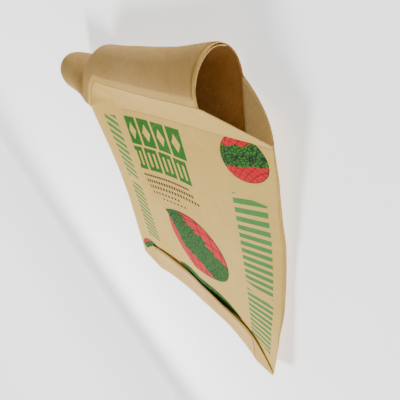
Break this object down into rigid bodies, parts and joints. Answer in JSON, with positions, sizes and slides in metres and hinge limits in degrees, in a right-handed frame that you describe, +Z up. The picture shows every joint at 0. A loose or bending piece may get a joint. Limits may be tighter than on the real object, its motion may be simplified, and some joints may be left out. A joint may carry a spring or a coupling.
{
  "type": "valve sack",
  "caption": "Empty block-bottom kraft and woven plastic sack lying flat, foot folded over, head propped open at its valve mouth, with a printed front.",
  "frame": {"origin": "centre of the bounding box in X and Y, on the floor under the back panel", "axes": "+Y from the folded foot to the open head, +Z up out of the printed front, +X to the side of the valve mouth"},
  "size_m": [0.5, 0.6602, 0.0698],
  "materials": {
    "kraft_sheet": "matte printed kraft face on woven plastic",
    "cover_sheet": "matte kraft face on woven plastic",
    "inner_sheet": "woven plastic, slightly glossy"
  },
  "bodies": {
    "root": {"sack_body": "kraft_sheet", "top_cover_patch": "cover_sheet", "bottom_cover_patch": "cover_sheet", "valve_patch": "inner_sheet"}
  },
  "joints": []
}
